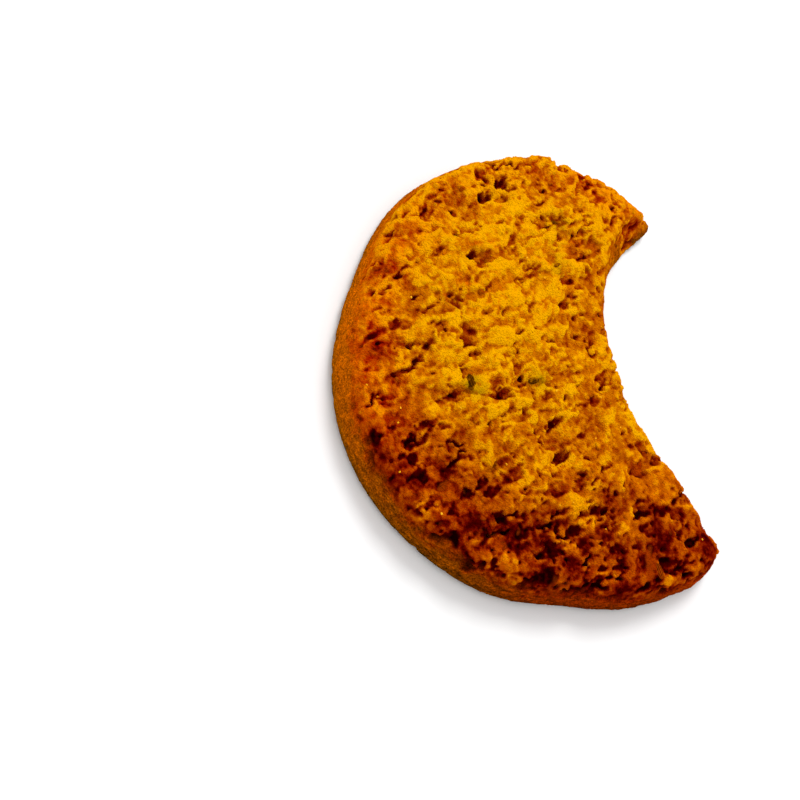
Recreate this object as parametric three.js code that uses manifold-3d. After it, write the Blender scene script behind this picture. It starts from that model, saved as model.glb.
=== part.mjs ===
// Anise crescent cookie: one solid baked crescent of coarse, crumbly dough.
// It has a flat underside, a low smooth side wall that leans in a little towards the top,
// a rounded shoulder, and a gently crowned top that is uneven with lumps and hollows.
// The left horn droops, and the wall of the hollow leans back there to a bevel.
//
// Units are millimetres and +Z is up. The cookie lies flat, its two horns to the left and right
// along X, and the hollow between them opens towards +Y. The origin is the middle of the
// bounding box at the level of the underside.

import * as THREE from "three";
import { ParametricGeometry } from "three/addons/geometries/ParametricGeometry.js";
import { mergeVertices } from "three/addons/utils/BufferGeometryUtils.js";
import Module from "manifold-3d";

// ---------------------------------------------------------------- outline
// The outer edge is a circle about (0, 0). Swells push it out (+) or in (-) round a bearing.
const OUTER_RADIUS = 32.0;
const OUTER_SWELLS = [
  { bearing: 138, rise: 0.7, spread: 5 },
  { bearing: 174, rise: 1.0, spread: 16 },
  { bearing: 243, rise: -1.6, spread: 21 },
  { bearing: 294, rise: 0.9, spread: 24 },
  { bearing: 354, rise: -1.5, spread: 16 },
  { bearing: 35, rise: 1.2, spread: 10 },
];

// The hollow is cut by a second circle. Its swells are measured from that circle's centre.
const HOLLOW_CENTRE = new THREE.Vector2(0, 37.4);
const HOLLOW_RADIUS = 28.7;
const HOLLOW_SWELLS = [
  { bearing: -60, rise: -2.6, spread: 26 },
  { bearing: -116, rise: 1.4, spread: 15 },
];

// How far from its corner each horn tip starts to be rounded off.
const LEFT_TIP_ROUNDING = 1.1;
const RIGHT_TIP_ROUNDING = 2.3;
// The middle line of the crescent stops where the dough is this wide from the line to an edge.
const HORN_HALF_WIDTH = 4.2;
// The inner levels draw back further at the pointed tips, by this share and over this distance.
const TIP_DRAW_BACK = 0.45;
const TIP_REACH = 4.0;

// ---------------------------------------------------------------- side wall and shoulder
// Height above the underside and distance in from the widest outline, from the bottom upwards.
const WALL_LEVELS = [
  { height: 0.0, inset: 0.6 },
  { height: 0.35, inset: 0.15 },
  { height: 1.2, inset: 0.0 },
  { height: 3.4, inset: 0.4 },
  { height: 5.3, inset: 1.0 },
  { height: 6.1, inset: 1.7 },
];
const SHOULDER_LEVEL = { height: 6.6, inset: 2.9 };

// At the left horn the hollow's wall leans back to a bevel, which a flared round cut makes.
// The cut touches the hollow's edge at a bearing from the hollow's centre and widens upwards.
const BEVEL = { bearing: 229, radius: 13, foot: 0.8, flare: 0.7, height: 9.0, sides: 120 };

// ---------------------------------------------------------------- top
const CROWN = 1.1;
const CROWN_REACH = 7.0;
const RELIEF_REACH = 2.5;
const LEFT_HORN_DROOP = { drop: 1.9, reach: 7.5 };
const RIGHT_HORN_DROOP = { drop: 0.9, reach: 9.0 };
const RELIEF_WAVES = [
  { length: 11.0, turn: 20, height: 0.16 },
  { length: 7.3, turn: 75, height: 0.15 },
  { length: 5.1, turn: 160, height: 0.14 },
  { length: 3.9, turn: 115, height: 0.12 },
];
const HOLLOW_COUNT = 34;
const HOLLOW_DEPTH = [0.35, 0.8];
const HOLLOW_LENGTH = [1.6, 3.0];
const HOLLOW_SLIMNESS = 0.62;
const HOLLOW_TURN = 12;
const HOLLOW_SEED = 7;

// ---------------------------------------------------------------- fineness of the surface
const STEPS_PER_EDGE = 92;
const TOP_STEPS = 13;
const TIP_CROWDING = 0.6;

const TURN = 2 * Math.PI;
const toRadians = THREE.MathUtils.degToRad;
const toDegrees = THREE.MathUtils.radToDeg;

// A smooth bump, 1 at offset 0 and almost nothing past twice the spread.
function bump(offset, spread) {
  return Math.exp(-((offset / spread) ** 2));
}

// Radius of a round edge at a bearing, with its swells.
function edgeRadius(radius, swells, bearing) {
  let total = radius;
  for (const swell of swells) {
    const offset = THREE.MathUtils.euclideanModulo(toDegrees(bearing) - swell.bearing + 180, 360) - 180;
    total += swell.rise * bump(offset, swell.spread);
  }
  return total;
}

function polar(centre, radius, bearing) {
  return new THREE.Vector2(centre.x + radius * Math.cos(bearing), centre.y + radius * Math.sin(bearing));
}

const OUTER_CENTRE = new THREE.Vector2(0, 0);

function outerPoint(bearing) {
  return polar(OUTER_CENTRE, edgeRadius(OUTER_RADIUS, OUTER_SWELLS, bearing), bearing);
}

function hollowPoint(bearing) {
  return polar(HOLLOW_CENTRE, edgeRadius(HOLLOW_RADIUS, HOLLOW_SWELLS, bearing), bearing);
}

// How far a point of the outer edge lies outside the hollow.
function clearOfHollow(bearing) {
  const arm = outerPoint(bearing).sub(HOLLOW_CENTRE);
  return arm.length() - edgeRadius(HOLLOW_RADIUS, HOLLOW_SWELLS, Math.atan2(arm.y, arm.x));
}

// Bearing of a horn's tip, where the outer edge runs into the hollow, found by halving.
function hornBearing(onDough, inHollow) {
  let dough = toRadians(onDough);
  let hollow = toRadians(inHollow);
  for (let step = 0; step < 40; step += 1) {
    const middle = (dough + hollow) / 2;
    if (clearOfHollow(middle) > 0) {
      dough = middle;
    } else {
      hollow = middle;
    }
  }
  return (dough + hollow) / 2;
}

// The middle line between two circles is an ellipse with its foci at their centres.
function middlePoint(bearing) {
  const halfSum = (OUTER_RADIUS + HOLLOW_RADIUS) / 2;
  const halfGap = HOLLOW_CENTRE.length() / 2;
  const turned = Math.cos(bearing - HOLLOW_CENTRE.angle());
  const radius = (halfSum ** 2 - halfGap ** 2) / (halfSum - halfGap * turned);
  return polar(OUTER_CENTRE, radius, bearing);
}

// Replaces the corner of a closed ring of points by a smooth curve between its two cut points.
function roundCorner(ring, corner, rounding) {
  const at = (step) => ring[THREE.MathUtils.euclideanModulo(corner + step, ring.length)];
  const tip = at(0).clone();
  let before = 0;
  while (at(before).distanceTo(tip) < rounding) {
    before -= 1;
  }
  let after = 0;
  while (at(after).distanceTo(tip) < rounding) {
    after += 1;
  }
  const curve = new THREE.QuadraticBezierCurve(at(before).clone(), tip, at(after).clone());
  for (let step = before; step <= after; step += 1) {
    at(step).copy(curve.getPoint((step - before) / (after - before)));
  }
}

// The widest outline as a closed ring, from the left tip along the outer edge to the right tip
// and back along the hollow, with the point of the middle line that each point is drawn in to.
function makeOutline() {
  const leftTip = hornBearing(190, 100);
  const rightTip = hornBearing(-10, 80) + TURN;
  const outer = [];
  const middle = [];
  for (let step = 0; step <= STEPS_PER_EDGE; step += 1) {
    const share = step / STEPS_PER_EDGE;
    const crowded = share - (TIP_CROWDING * Math.sin(TURN * share)) / TURN;
    const bearing = THREE.MathUtils.lerp(leftTip, rightTip, crowded);
    outer.push(outerPoint(bearing));
    middle.push(middlePoint(bearing));
  }

  const seenFromHollow = (point) => {
    const bearing = Math.atan2(point.y - HOLLOW_CENTRE.y, point.x - HOLLOW_CENTRE.x);
    return bearing > Math.PI / 2 ? bearing - TURN : bearing;
  };
  const middleStart = seenFromHollow(middle[0]);
  const middleEnd = seenFromHollow(middle[STEPS_PER_EDGE]);
  const hollowStart = seenFromHollow(outer[0]);
  const hollowEnd = seenFromHollow(outer[STEPS_PER_EDGE]);
  const inner = middle.map((point) =>
    hollowPoint(THREE.MathUtils.mapLinear(seenFromHollow(point), middleStart, middleEnd, hollowStart, hollowEnd)),
  );

  const wide = outer.map((point, step) => point.distanceTo(inner[step]) / 2 > HORN_HALF_WIDTH);
  const firstWide = wide.indexOf(true);
  const lastWide = wide.lastIndexOf(true);
  const spine = middle.map((_, step) => middle[THREE.MathUtils.clamp(step, firstWide, lastWide)]);

  const edge = [...outer, ...inner.slice(1, -1).reverse()];
  const target = [...spine, ...spine.slice(1, -1).reverse()];
  roundCorner(edge, 0, LEFT_TIP_ROUNDING);
  roundCorner(edge, STEPS_PER_EDGE, RIGHT_TIP_ROUNDING);
  return { edge, target, tips: [edge[0], edge[STEPS_PER_EDGE]] };
}

const OUTLINE = makeOutline();

function nearest(points, place) {
  return Math.min(...points.map((point) => point.distanceTo(place)));
}

const distanceToTip = (place) => nearest(OUTLINE.tips, place);

// How much lower the cookie is at a place near a horn's tip.
function hornDroop(place) {
  const [leftTip, rightTip] = OUTLINE.tips;
  const left = LEFT_HORN_DROOP.drop * bump(place.distanceTo(leftTip), LEFT_HORN_DROOP.reach);
  return left + RIGHT_HORN_DROOP.drop * bump(place.distanceTo(rightTip), RIGHT_HORN_DROOP.reach);
}
const distanceToEdge = (place) => nearest(OUTLINE.edge, place);

// A point of the ring drawn in towards the middle line by an inset.
function drawnIn(index, inset) {
  const edge = OUTLINE.edge[index];
  const target = OUTLINE.target[index];
  const extra = 1 + TIP_DRAW_BACK * bump(distanceToTip(edge), TIP_REACH);
  const share = Math.min(1, (inset * extra) / edge.distanceTo(target));
  return edge.clone().lerp(target, share);
}

// ---------------------------------------------------------------- relief of the top
// Hollows in the crumb, spread evenly by the golden angle and then jittered.
function makeHollows() {
  const goldenAngle = Math.PI * (3 - Math.sqrt(5));
  const hollows = [];
  for (let count = 0; count < HOLLOW_COUNT; count += 1) {
    const chance = (salt) => THREE.MathUtils.euclideanModulo(
      Math.sin((count + 1) * 12.9898 + (salt + HOLLOW_SEED) * 78.233) * 43758.5453, 1);
    const radius = OUTER_RADIUS * Math.sqrt((count + 0.5) / HOLLOW_COUNT) * (0.94 + 0.1 * chance(1));
    hollows.push({
      centre: polar(OUTER_CENTRE, radius, count * goldenAngle + 0.5 * chance(2)),
      depth: THREE.MathUtils.lerp(...HOLLOW_DEPTH, chance(3)),
      length: THREE.MathUtils.lerp(...HOLLOW_LENGTH, chance(4)),
      turn: toRadians(HOLLOW_TURN + 50 * (chance(5) - 0.5)),
    });
  }
  return hollows;
}

const HOLLOWS = makeHollows();

// Height of the lumps and hollows at a place on the top, above (+) or below (-) the crown.
function relief(place) {
  let height = 0;
  for (const wave of RELIEF_WAVES) {
    const turn = toRadians(wave.turn);
    const along = place.x * Math.cos(turn) + place.y * Math.sin(turn);
    const across = place.y * Math.cos(turn) - place.x * Math.sin(turn);
    const bend = 0.8 * Math.sin((TURN * across) / (1.7 * wave.length));
    height += wave.height * Math.sin((TURN * along) / wave.length + bend);
  }
  for (const hollow of HOLLOWS) {
    const arm = place.clone().sub(hollow.centre).rotateAround(OUTER_CENTRE, -hollow.turn);
    arm.y /= HOLLOW_SLIMNESS;
    height -= hollow.depth * bump(arm.length(), hollow.length);
  }
  return height;
}

// A point of the top: share 0 is the shoulder and share 1 the middle line.
function topPoint(index, share) {
  const place = drawnIn(index, SHOULDER_LEVEL.inset).lerp(OUTLINE.target[index], share);
  const depthIn = Math.max(0, distanceToEdge(place) - SHOULDER_LEVEL.inset);
  const rise = CROWN * (1 - bump(depthIn, CROWN_REACH));
  const roughness = 1 - 0.6 * bump(depthIn, RELIEF_REACH);
  const height = SHOULDER_LEVEL.height + rise - hornDroop(place) + relief(place) * roughness;
  return new THREE.Vector3(place.x, place.y, height);
}

// A point of the side wall. The wall is as much lower at the horns as the top is.
function wallPoint(index, level) {
  const place = drawnIn(index, level.inset);
  const height = level.height * (1 - hornDroop(place) / SHOULDER_LEVEL.height);
  return new THREE.Vector3(place.x, place.y, height);
}

// ---------------------------------------------------------------- the closed surface
// Rows run from the middle of the underside out to the wall, up it and back in over the top.
const ROWS = 1 + WALL_LEVELS.length + TOP_STEPS;
const RING_STEPS = 2 * STEPS_PER_EDGE;

function surfacePoint(round, upwards, result) {
  const index = Math.round(round * RING_STEPS) % RING_STEPS;
  const row = Math.round(upwards * ROWS);
  if (row === 0) {
    const target = OUTLINE.target[index];
    result.set(target.x, target.y, 0);
  } else if (row <= WALL_LEVELS.length) {
    result.copy(wallPoint(index, WALL_LEVELS[row - 1]));
  } else {
    result.copy(topPoint(index, (row - 1 - WALL_LEVELS.length) / TOP_STEPS));
  }
}

// Drops the triangles that have no area where the rows meet on the middle line.
function dropCollapsed(geometry) {
  const kept = [];
  const corners = geometry.index.array;
  for (let start = 0; start < corners.length; start += 3) {
    const [a, b, c] = corners.slice(start, start + 3);
    if (a !== b && b !== c && c !== a) {
      kept.push(a, b, c);
    }
  }
  geometry.setIndex(kept);
  return geometry;
}

function merged(geometry) {
  geometry.deleteAttribute("normal");
  geometry.deleteAttribute("uv");
  return mergeVertices(geometry, 1e-3);
}

// The flared round cut of the bevel, standing upright where the hollow's edge touches it.
function makeBevelCut() {
  const bearing = toRadians(BEVEL.bearing);
  const edge = edgeRadius(HOLLOW_RADIUS, HOLLOW_SWELLS, bearing);
  const centre = polar(HOLLOW_CENTRE, edge - BEVEL.radius, bearing);
  const topRadius = BEVEL.radius + BEVEL.flare * BEVEL.height;
  const cut = new THREE.CylinderGeometry(topRadius, BEVEL.radius, BEVEL.height, BEVEL.sides);
  cut.rotateX(Math.PI / 2);
  cut.translate(centre.x, centre.y, BEVEL.foot + BEVEL.height / 2);
  return merged(cut);
}

const wasm = await Module();
wasm.setup();

function toSolid(geometry) {
  const vertProperties = Float32Array.from(geometry.attributes.position.array);
  const triVerts = Uint32Array.from(geometry.index.array);
  return new wasm.Manifold(new wasm.Mesh({ numProp: 3, vertProperties, triVerts }));
}

function toGeometry(solid) {
  const { vertProperties, triVerts } = solid.getMesh();
  const geometry = new THREE.BufferGeometry();
  geometry.setAttribute("position", new THREE.BufferAttribute(vertProperties, 3));
  geometry.setIndex(new THREE.BufferAttribute(triVerts, 1));
  return geometry;
}

function makeCookieGeometry() {
  const surface = new ParametricGeometry(surfacePoint, RING_STEPS, ROWS);
  const whole = toSolid(dropCollapsed(merged(surface)));
  const geometry = toGeometry(whole.subtract(toSolid(makeBevelCut())));
  geometry.computeBoundingBox();
  const middle = geometry.boundingBox.getCenter(new THREE.Vector3());
  geometry.translate(-middle.x, -middle.y, 0);
  geometry.computeVertexNormals();
  return geometry;
}

// ---------------------------------------------------------------- the part
const bakedDough = new THREE.MeshStandardMaterial({ color: "#c98010", roughness: 0.9, metalness: 0 });
const cookie = new THREE.Mesh(makeCookieGeometry(), bakedDough);
cookie.name = "crescent_cookie";

const part = new THREE.Group();
part.add(cookie);

export default part;
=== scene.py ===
"""Looks of the anise crescent cookie: a coarse golden crumb that browns towards one horn and the rim, a fine
ochre side wall, loose crumb grains and nubs, sugar grains and anise seeds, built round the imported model."""

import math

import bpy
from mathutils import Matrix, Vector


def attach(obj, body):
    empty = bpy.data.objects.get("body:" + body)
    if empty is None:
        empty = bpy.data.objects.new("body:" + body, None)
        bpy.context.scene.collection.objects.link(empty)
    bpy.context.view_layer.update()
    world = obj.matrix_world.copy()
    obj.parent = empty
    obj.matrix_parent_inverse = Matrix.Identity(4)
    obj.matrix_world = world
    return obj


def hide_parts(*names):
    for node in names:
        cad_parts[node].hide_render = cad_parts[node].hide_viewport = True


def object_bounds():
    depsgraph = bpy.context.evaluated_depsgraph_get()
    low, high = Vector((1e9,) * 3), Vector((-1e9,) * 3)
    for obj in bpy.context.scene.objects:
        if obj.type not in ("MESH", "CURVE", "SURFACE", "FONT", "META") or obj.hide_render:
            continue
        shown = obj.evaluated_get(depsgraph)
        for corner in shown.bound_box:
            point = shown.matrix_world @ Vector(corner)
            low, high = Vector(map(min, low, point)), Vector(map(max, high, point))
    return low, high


bl_info = {
    "name": "Anise crescent cookie",
    "version": (1, 0, 0),
    "blender": (4, 5, 0),
    "location": "View3D > Sidebar > Cookie",
    "description": "Bakes a crumbly crescent cookie round its packed model",
    "category": "Add Mesh",
}

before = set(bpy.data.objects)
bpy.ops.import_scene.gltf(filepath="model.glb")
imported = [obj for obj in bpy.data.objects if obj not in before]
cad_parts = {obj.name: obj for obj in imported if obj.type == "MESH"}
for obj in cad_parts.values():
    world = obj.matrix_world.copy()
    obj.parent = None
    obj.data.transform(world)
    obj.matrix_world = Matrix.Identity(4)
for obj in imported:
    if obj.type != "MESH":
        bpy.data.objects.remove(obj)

CAD_LOW, CAD_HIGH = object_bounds()
DOUGH_NODE = "crescent_cookie"
BODY = "root"
PER_METRE = 1000.0
X, Y, Z = 0, 1, 2

# Places on the cookie, in millimetres, and directions across it.
OUTER_CENTRE = (0.96, 5.26, 0.0)
HOLLOW_CENTRE = (0.0, 37.4, 0.0)
PALE_HEART = (-15.0, 1.5, 0.0)
HORN_BEVEL = (-20.3, 21.0, 3.0)
INNER_BAKE = (17.3, 15.8, 0.0)
HORN_END = (26.5, 22.0, 0.0)
CLOSE_CRUMB = (13.0, 11.0, 6.0)
SEAM_MIDDLE = (-22.2, -7.5, 0.0)
SEAM_RUN = (-0.216, 0.976, 0.0)
SEAM_SIDE = (0.976, 0.216, 0.0)

# How high the anise seeds lie, in millimetres, and how far they tilt.
SEED_HEIGHT = 7.3
SEED_PITCH = math.radians(8)

# Carving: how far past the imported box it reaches, in millimetres, how much its volume thins out in each, the
# density at its surface, the fewest points in an island of crumb, and how near points are merged, in metres.
CARVE_MARGIN = 1.4
DENSITY_EACH_MILLIMETRE = 0.35
SURFACE_DENSITY = 0.5
SMALLEST_ISLAND = 20000
MERGE_GAP = 0.00002

# Widths of the grain that only the material shows, in millimetres, and the depth of its bump, in metres.
GRAIN_WIDTH = 0.26
SAND_WIDTH = 0.13
BUMP_DEPTH = 0.00028

# Tints that multiply a colour.
PALE_BLUSH = (0.97, 0.62, 1.0, 1.0)
DARK_BLUSH = (1.1, 0.28, 1.0, 1.0)
WARM_BAKE = (1.0, 0.78, 1.0, 1.0)
# Painted shade at the foot of the wall, next to the floor.
FOOT_SHADE = (0.55, 0.80, 0.0, 1.0)

# Stage, in metres.
FOCUS = (0.0033, -0.0169, 0.0)
FLOOR_WIDTH = 8.0
FLOOR_GAP = 0.00002
KEY_PLACE = (-0.33, 0.17, 0.48)
KEY_WIDTH = 0.22
NEAREST_SEEN = 0.01
FARTHEST_SEEN = 20.0


def size_property(name, description, default):
    """A length that the panel shows in the scene's unit."""
    return bpy.props.FloatProperty(
        name=name, description=description, default=default, subtype="DISTANCE", unit="LENGTH", precision=5)


def colour_property(name, description, default):
    return bpy.props.FloatVectorProperty(
        name=name, description=description, default=default, subtype="COLOR", size=3, min=0.0, max=1.0)


def angle_property(name, description, degrees):
    return bpy.props.FloatProperty(
        name=name, description=description, default=math.radians(degrees), subtype="ANGLE", unit="ROTATION")


# ---------------------------------------------------------------- settings
class CrumbSettings(bpy.types.PropertyGroup):
    """Sizes of the crumb's relief."""

    fineness: size_property("Fineness", "Edge of the cells that the crumb is carved from", 0.00023)
    most_triangles: bpy.props.IntProperty(
        name="Triangles", description="The most triangles that the crumb may have", default=197000)
    overhang: bpy.props.FloatProperty(
        name="Overhang", description="How far the relief changes with its own depth", default=0.35)
    swell_size: size_property("Swell size", "Width of the gentle swells of the top", 0.0070)
    swell_height: size_property("Swell height", "Height of the gentle swells", 0.00050)
    terrace_size: size_property("Terrace size", "Width of the broken terraces", 0.0040)
    terrace_height: size_property("Terrace height", "Height of the broken terraces", 0.00050)
    lump_size: size_property("Lump size", "Width of the lumps of crumb", 0.0023)
    lump_height: size_property("Lump height", "Height of the lumps of crumb", 0.00022)
    clod_size: size_property("Clod size", "Width of the uneven clods", 0.0014)
    clod_height: size_property("Clod height", "Height of the uneven clods", 0.00026)
    granule_size: size_property("Granule size", "Width of the granules on the lumps", 0.00085)
    granule_height: size_property("Granule height", "Height of the granules", 0.00011)
    grit_size: size_property("Grit size", "Width of the finest carved grit", 0.00048)
    grit_height: size_property("Grit height", "Height of the finest carved grit", 0.00010)
    pit_size: size_property("Pit size", "Width of the larger pits", 0.0025)
    pit_depth: size_property("Pit depth", "Depth of the larger pits", 0.0014)
    furrow_size: size_property("Furrow size", "Width of the drawn-out furrows", 0.0020)
    furrow_depth: size_property("Furrow depth", "Depth of the drawn-out furrows", 0.0010)
    pore_size: size_property("Pore size", "Width of the small pores", 0.0011)
    pore_depth: size_property("Pore depth", "Depth of the small pores", 0.0009)
    hollow_size: size_property("Hollow size", "Width of the shallow flat hollows", 0.0034)
    hollow_depth: size_property("Hollow depth", "Depth of the shallow flat hollows", 0.00035)
    run: angle_property("Run", "Direction that pits and cracks lie along", 115)
    stretch: bpy.props.FloatProperty(
        name="Stretch", description="How much longer than wide the pits are", default=1.55)


class ColourSettings(bpy.types.PropertyGroup):
    """Colours of the bake, from the deepest pits to the palest crumb."""

    char: colour_property("Char", "The deepest pits", (0.010, 0.0, 0.0))
    ember: colour_property("Ember", "Deep pits", (0.060, 0.0, 0.0))
    scorch: colour_property("Scorch", "Pits and cracks", (0.150, 0.004, 0.0))
    brown: colour_property("Brown", "Well baked crumb", (0.290, 0.026, 0.0))
    amber: colour_property("Amber", "Browned crumb", (0.440, 0.088, 0.0))
    golden: colour_property("Golden", "Most of the crumb", (0.620, 0.176, 0.0))
    pale: colour_property("Pale", "The palest crumb", (0.850, 0.370, 0.0))
    crust: colour_property("Crust", "The fine side wall", (0.670, 0.137, 0.0))
    crust_dark: colour_property("Dark crust", "The side wall near the base", (0.330, 0.104, 0.0))
    base: colour_property("Base", "The evenly baked underside", (0.430, 0.130, 0.0))
    toast: colour_property("Toast", "Red-brown toasted spots", (0.420, 0.050, 0.0))
    anise: colour_property("Anise", "Green tint of the crumb round an anise seed", (0.500, 0.600, 0.0))
    seed: colour_property("Seed", "Anise seed", (0.050, 0.012, 0.0))
    seed_rib: colour_property("Seed rib", "Paler ribs of an anise seed", (0.120, 0.036, 0.0))
    seed_baked: colour_property("Baked seed rib", "Ribs of a well baked anise seed", (0.300, 0.070, 0.0))
    sugar: colour_property("Sugar", "Grains of sugar", (0.900, 0.440, 0.010))


class ToppingSettings(bpy.types.PropertyGroup):
    """Numbers and sizes of the loose pieces on the crumb."""

    grains_each_square_metre: bpy.props.FloatProperty(
        name="Grains", description="Crumb grains on each square metre of surface", default=5.5e6)
    grain_size: size_property("Grain size", "Width of a middling crumb grain", 0.00030)
    nubs_each_square_metre: bpy.props.FloatProperty(
        name="Nubs", description="Larger nubs of crumb on each square metre of surface", default=5.0e4)
    nub_size: size_property("Nub size", "Width of a middling nub of crumb", 0.00085)
    sugar_each_square_metre: bpy.props.FloatProperty(
        name="Sugar", description="Sugar grains on each square metre of surface", default=1.4e4)
    sugar_size: size_property("Sugar size", "Width of a middling sugar grain", 0.00023)
    seed_length: size_property("Seed length", "Length of a whole anise seed", 0.0030)
    seed: bpy.props.IntProperty(name="Seed", description="Start of the random placing", default=7)


class StageSettings(bpy.types.PropertyGroup):
    """Camera, floor and lights."""

    lens: bpy.props.FloatProperty(
        name="Lens", description="Focal length of the camera", default=85.5, subtype="DISTANCE_CAMERA",
        unit="CAMERA")
    azimuth: angle_property("Azimuth", "Bearing of the camera from the front, towards +X", 33.5)
    elevation: angle_property("Elevation", "Height of the camera over the floor", 56.0)
    roll: angle_property("Roll", "Turn of the picture about the line of sight", 53.0)
    distance: size_property("Distance", "Camera to the point that it looks at", 0.2446)
    floor: colour_property("Floor", "Pale floor", (0.90, 0.90, 0.90))
    sky: bpy.props.FloatProperty(name="Sky", description="Strength of the even light", default=0.92)
    key: bpy.props.FloatProperty(
        name="Key", description="Power of the soft key light", default=1.95, unit="POWER")


# ---------------------------------------------------------------- node trees
class Tree:
    """Adds nodes to a shader or geometry tree and feeds plain values or other sockets into them."""

    def __init__(self, tree):
        self.tree = tree

    def add(self, kind, inputs=(), output=0, **settings):
        node = self.tree.nodes.new(kind)
        for key, value in settings.items():
            setattr(node, key, value)
        pairs = inputs.items() if isinstance(inputs, dict) else enumerate(inputs)
        for key, value in pairs:
            self.feed(node.inputs[key], value)
        return node.outputs[output]

    def feed(self, socket, value):
        if isinstance(value, bpy.types.NodeSocket):
            self.tree.links.new(value, socket)
        elif value is not None:
            socket.default_value = value

    def maths(self, operation, *values, clamp=False):
        return self.add("ShaderNodeMath", values, operation=operation, use_clamp=clamp)

    def line(self, value, slope, start, clamp=False):
        """A value times a slope, plus a start."""
        return self.maths("MULTIPLY_ADD", value, slope, start, clamp=clamp)

    def total(self, *values):
        result = values[0]
        for value in values[1:]:
            result = self.maths("ADD", result, value)
        return result

    def times(self, *values):
        result = values[0]
        for value in values[1:]:
            result = self.maths("MULTIPLY", result, value)
        return result

    def vector(self, operation, *values):
        if operation == "SCALE":
            return self.add("ShaderNodeVectorMath", {0: values[0], 3: values[1]}, operation=operation)
        output = 1 if operation in {"DOT_PRODUCT", "LENGTH", "DISTANCE"} else 0
        return self.add("ShaderNodeVectorMath", values, output=output, operation=operation)

    def part(self, vector, axis):
        return self.add("ShaderNodeSeparateXYZ", (vector,), output=axis)

    def ramp(self, value, low, high, to_low=0.0, to_high=1.0):
        """A smooth step from one value to another."""
        inputs = {0: value, 1: low, 2: high, 3: to_low, 4: to_high}
        return self.add("ShaderNodeMapRange", inputs, interpolation_type="SMOOTHSTEP")

    def along(self, place, axis, low, high, to_low=0.0, to_high=1.0):
        """A smooth step along one axis."""
        return self.ramp(self.part(place, axis), low, high, to_low, to_high)

    def near(self, place, centre, none_at, all_at, amount=1.0):
        """Nothing at one distance from a centre, an amount at another."""
        return self.ramp(self.vector("DISTANCE", place, centre), none_at, all_at, 0.0, amount)

    def blend(self, amount, first, second):
        return self.add("ShaderNodeMix", {0: amount, 2: first, 3: second}, data_type="FLOAT")

    def blend_colour(self, amount, first, second, mode="MIX"):
        inputs = {0: amount, 6: first, 7: second}
        return self.add("ShaderNodeMix", inputs, output=2, data_type="RGBA", blend_type=mode)

    def noise(self, place, size, detail=2.0, roughness=0.5, output=0):
        inputs = {"Vector": place, "Scale": 1.0 / size, "Detail": detail, "Roughness": roughness}
        return self.add("ShaderNodeTexNoise", inputs, output=output)

    def swing(self, place, size, reach, detail=2.0, roughness=0.5):
        """Noise from minus a reach to plus a reach."""
        return self.line(self.noise(place, size, detail, roughness), 2.0 * reach, -reach)

    def cells(self, place, size):
        """Distance to the nearest of many scattered points, in cells of a size."""
        return self.add("ShaderNodeTexVoronoi", {"Vector": place, "Scale": 1.0 / size})

    def chance(self, low, high, seed):
        """A number between two others, drawn for each point."""
        return self.add("FunctionNodeRandomValue", {2: low, 3: high, "Seed": seed}, output=1)

    def chance_vector(self, low, high, seed):
        """As chance, for each of three axes."""
        inputs = {0: (low, low, low), 1: (high, high, high), "Seed": seed}
        return self.add("FunctionNodeRandomValue", inputs, data_type="FLOAT_VECTOR")

    def drawn_out(self, place, bearing, stretch):
        """Coordinates in which a pattern comes out longer along a bearing about Z."""
        inputs = {"Vector": place, "Angle": -bearing}
        along = self.add("ShaderNodeVectorRotate", inputs, rotation_type="Z_AXIS")
        return self.vector("MULTIPLY", along, (1.0 / stretch, 1.0, 1.0))


def millimetres(length):
    return length * PER_METRE


def geometry_group(name):
    group = bpy.data.node_groups.new(name, "GeometryNodeTree")
    group.interface.new_socket("Geometry", in_out="INPUT", socket_type="NodeSocketGeometry")
    group.interface.new_socket("Geometry", in_out="OUTPUT", socket_type="NodeSocketGeometry")
    tree = Tree(group)
    return tree, tree.add("NodeGroupInput")


def close_group(tree, geometry):
    out = tree.tree.nodes.new("NodeGroupOutput")
    tree.feed(out.inputs[0], geometry)
    return tree.tree


# ---------------------------------------------------------------- crumb relief
def above_dough(tree, smooth):
    """How far each point lies outside the smooth dough in millimetres, how far the dough faces up there, and
    the nearest place on it."""
    spot = tree.add("GeometryNodeInputPosition")
    inputs = {0: smooth, "Sample Position": spot}
    distance = tree.add("GeometryNodeProximity", inputs, output="Distance", target_element="FACES")
    nearest = distance.node.outputs["Position"]
    inputs = {"Mesh": smooth, "Value": tree.add("GeometryNodeInputNormal"), "Sample Position": spot}
    normal = tree.add("GeometryNodeSampleNearestSurface", inputs, data_type="FLOAT_VECTOR")
    outward = tree.vector("DOT_PRODUCT", tree.vector("SUBTRACT", spot, nearest), normal)
    signed = tree.times(distance, tree.maths("SIGN", outward), PER_METRE)
    return signed, tree.part(normal, Z), tree.vector("SCALE", nearest, PER_METRE)


def exposure(tree, place, upward):
    """How far a place belongs to the torn top and not the fine wall; the browned side is torn lower down."""
    sway = tree.swing(place, 3.0, 0.45, 3.0, 0.6)
    ragged = tree.swing(place, 1.1, 0.40)
    browned_side = tree.along(place, X, -10.0, 20.0, 1.0, 2.0)
    shoulder = tree.times(outer_shoulder(tree, place), tree.along(place, Z, 1.5, 5.0, 0.0, 0.65))
    return tree.total(tree.times(upward, browned_side), sway, ragged, shoulder)


def outer_rim(tree, place, start, end):
    """0 inside one radius from the middle of the outer arc, 1 outside another."""
    flat = tree.vector("MULTIPLY", place, (1.0, 1.0, 0.0))
    return tree.ramp(tree.vector("DISTANCE", flat, OUTER_CENTRE), start, end)


def outer_shoulder(tree, place):
    """1 on the outer rim of the left end, 0 elsewhere."""
    return tree.times(outer_rim(tree, place, 24.0, 28.0), tree.along(place, X, -6.0, -16.0))


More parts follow.
